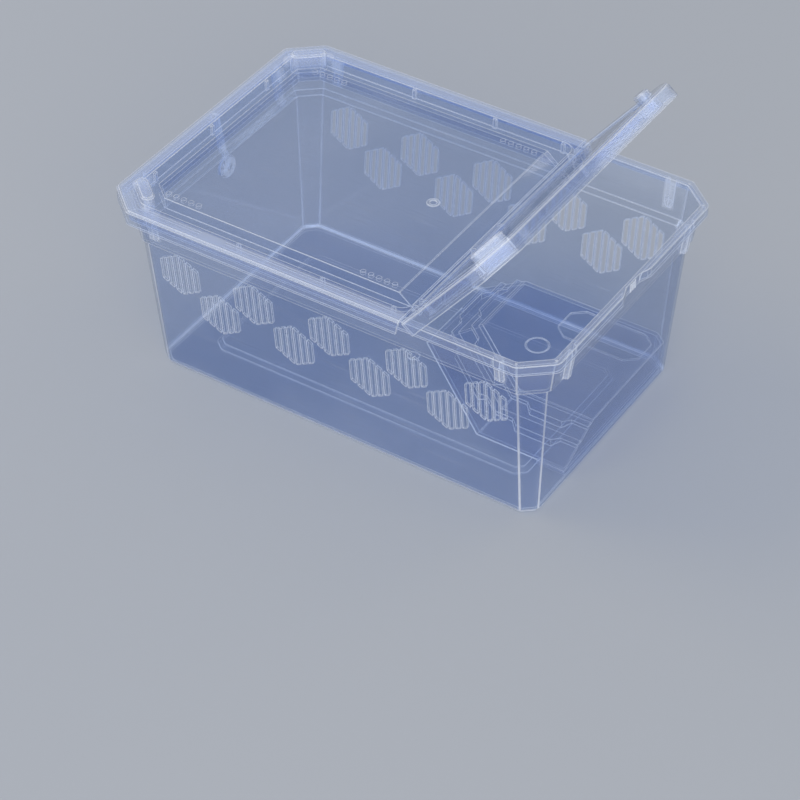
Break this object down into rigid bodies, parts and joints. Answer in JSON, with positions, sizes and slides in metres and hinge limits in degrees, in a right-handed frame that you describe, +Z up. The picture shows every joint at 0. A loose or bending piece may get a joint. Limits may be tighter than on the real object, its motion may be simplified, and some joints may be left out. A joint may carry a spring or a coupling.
{
  "type": "reptile breeding box",
  "caption": "Clear plastic box for small reptiles: tapered vented tub, lift-off lid with a hinged end flap and stacking posts, and a loose stepped platform inside.",
  "frame": {"origin": "under the middle of the tub's base, on the surface the box stands on", "axes": "+Z up, +X along the box towards the flap end, +Y across it"},
  "size_m": [0.3226, 0.2218, 0.2122],
  "materials": {
    "tub_plastic": "polished clear injection-moulded plastic with a cool blue tint",
    "lid_plastic": "polished clear plastic, with frosted corner posts and hinge clip",
    "platform_plastic": "clear plastic with a slight haze"
  },
  "bodies": {
    "tub": {"tub": "tub_plastic"},
    "main_lid": {"main_lid": "lid_plastic"},
    "flap": {"flap": "lid_plastic"},
    "platform": {"corner_platform": "platform_plastic"}
  },
  "joints": [
    {"name": "lid_lift", "type": "slide", "parent": "tub", "child": "main_lid", "axis": [0, 0, 1], "range_m": [0, 0.12]},
    {"name": "flap_hinge", "type": "hinge", "parent": "main_lid", "child": "flap", "pos_m": [0.0633, 0, 0.13425], "axis": [0, -1, 0], "range_deg": [-51.6, 55]},
    {"name": "platform_lift", "type": "slide", "parent": "tub", "child": "platform", "axis": [0, 0, 1], "range_m": [0, 0.09]}
  ]
}
